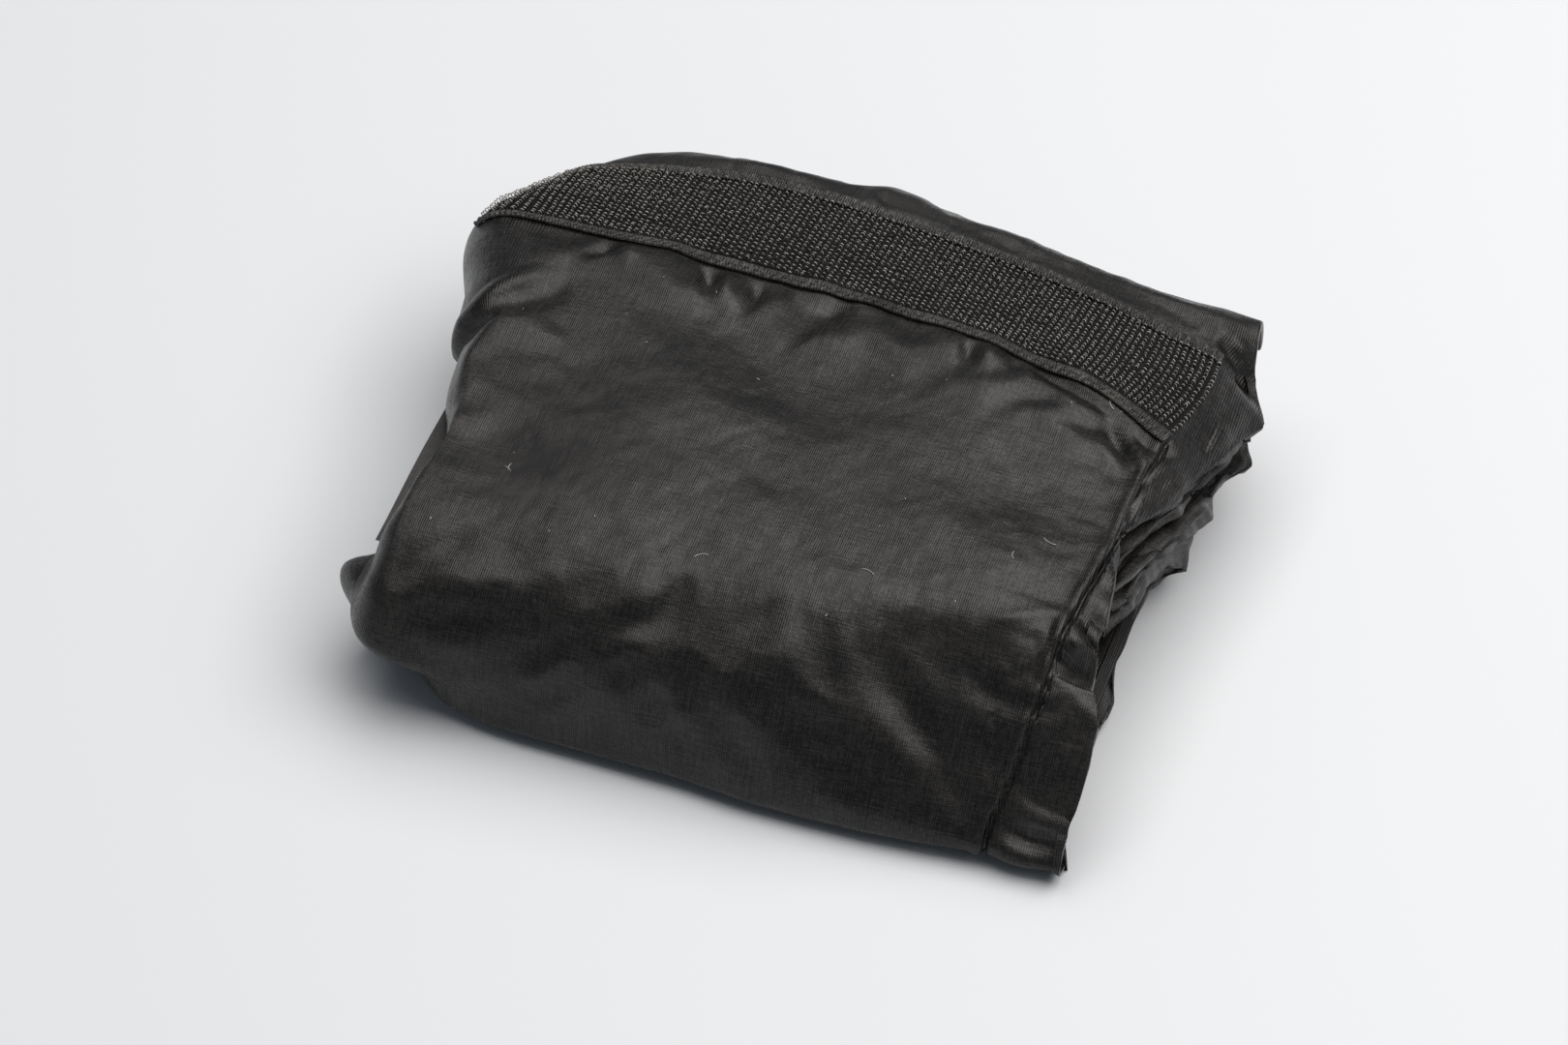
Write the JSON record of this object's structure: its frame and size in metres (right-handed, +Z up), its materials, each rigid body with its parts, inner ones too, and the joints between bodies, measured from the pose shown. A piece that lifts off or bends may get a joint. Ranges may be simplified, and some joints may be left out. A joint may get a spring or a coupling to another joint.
{
  "type": "film changing bag",
  "caption": "Black nylon film changing bag folded in three each way, hook tape across the mouth, with inner bag, two zips, sleeves and light flap.",
  "frame": {"origin": "middle of the folded bundle's footprint, on the surface it rests on", "axes": "+X along the mouth to the side-seam end, +Y to the back where the mouth and flap lie, +Z up"},
  "size_m": [0.1582, 0.126, 0.0412],
  "materials": {
    "outer_nylon": "black coated nylon with a satin sheen",
    "lining_nylon": "matt black inner nylon",
    "hook_and_loop": "black woven tape with hooks or loops",
    "zip_tape": "black woven zip tape",
    "zip_coil": "black polyester coil",
    "zip_metal": "black enamelled zinc",
    "elastic": "covered elastic",
    "sewing_thread": "black polyester thread"
  },
  "bodies": {
    "base_and_middle_thirds": {"outer_rear_panel_base": "outer_nylon", "outer_front_panel_base": "outer_nylon", "lining_base": "lining_nylon", "lining_middle": "lining_nylon", "side_seam_base": "outer_nylon", "left_sleeve": "outer_nylon", "right_sleeve": "outer_nylon", "left_cuff_hem": "outer_nylon", "right_cuff_hem": "outer_nylon", "left_cuff_elastic": "elastic", "right_cuff_elastic": "elastic", "front_fold_outer": "outer_nylon", "front_fold_inner": "outer_nylon"},
    "top_third": {"outer_rear_panel_top": "outer_nylon", "outer_front_panel_top": "outer_nylon", "lining_top": "lining_nylon", "side_seam_top": "outer_nylon", "side_seam_thread": "sewing_thread", "hook_tape_ground": "hook_and_loop", "hook_tape_hooks": "hook_and_loop", "hook_tape_thread": "sewing_thread", "outer_zip_upper_tape": "zip_tape", "outer_zip_lower_tape": "zip_tape", "outer_zip_upper_coil": "zip_coil", "outer_zip_lower_coil": "zip_coil", "outer_zip_end_stops": "zip_metal", "inner_zip_upper_tape": "zip_tape", "inner_zip_lower_tape": "zip_tape", "inner_zip_upper_coil": "zip_coil", "inner_zip_lower_coil": "zip_coil", "inner_zip_end_stops": "zip_metal"},
    "outer_slider": {"outer_zip_slider": "zip_metal"},
    "outer_pull": {"outer_zip_pull": "zip_metal"},
    "inner_slider": {"inner_zip_slider": "zip_metal"},
    "inner_pull": {"inner_zip_pull": "zip_metal"},
    "flap_riser": {"light_flap_riser": "outer_nylon"},
    "flap_tip": {"light_flap_tip": "outer_nylon", "loop_tape": "hook_and_loop", "loop_tape_thread": "sewing_thread"}
  },
  "joints": [
    {"name": "top_third_fold", "type": "hinge", "parent": "base_and_middle_thirds", "child": "top_third", "pos_m": [0, -0.055, 0.021], "axis": [1, 0, 0], "range_deg": [0, 178], "deforming": ["front_fold_outer", "front_fold_inner"]},
    {"name": "outer_zip_slide", "type": "slide", "parent": "top_third", "child": "outer_slider", "axis": [-1, 0, 0], "range_m": [0, 0.0928]},
    {"name": "outer_pull_swing", "type": "hinge", "parent": "outer_slider", "child": "outer_pull", "pos_m": [0.0464, 0.05705, 0.0344], "axis": [0, 0, -1], "range_deg": [0, 180]},
    {"name": "inner_zip_slide", "type": "slide", "parent": "top_third", "child": "inner_slider", "axis": [-1, 0, 0], "range_m": [0, 0.0928]},
    {"name": "inner_pull_swing", "type": "hinge", "parent": "inner_slider", "child": "inner_pull", "pos_m": [0.0464, 0.03005, 0.0344], "axis": [0, 0, -1], "range_deg": [0, 180]},
    {"name": "light_flap_lift", "type": "hinge", "parent": "top_third", "child": "flap_riser", "pos_m": [0, 0.061, 0.031], "axis": [1, 0, 0], "range_deg": [0, 180]},
    {"name": "light_flap_tip_fold", "type": "hinge", "parent": "flap_riser", "child": "flap_tip", "pos_m": [0, 0.061, 0.0184], "axis": [1, 0, 0], "range_deg": [0, 90]}
  ]
}
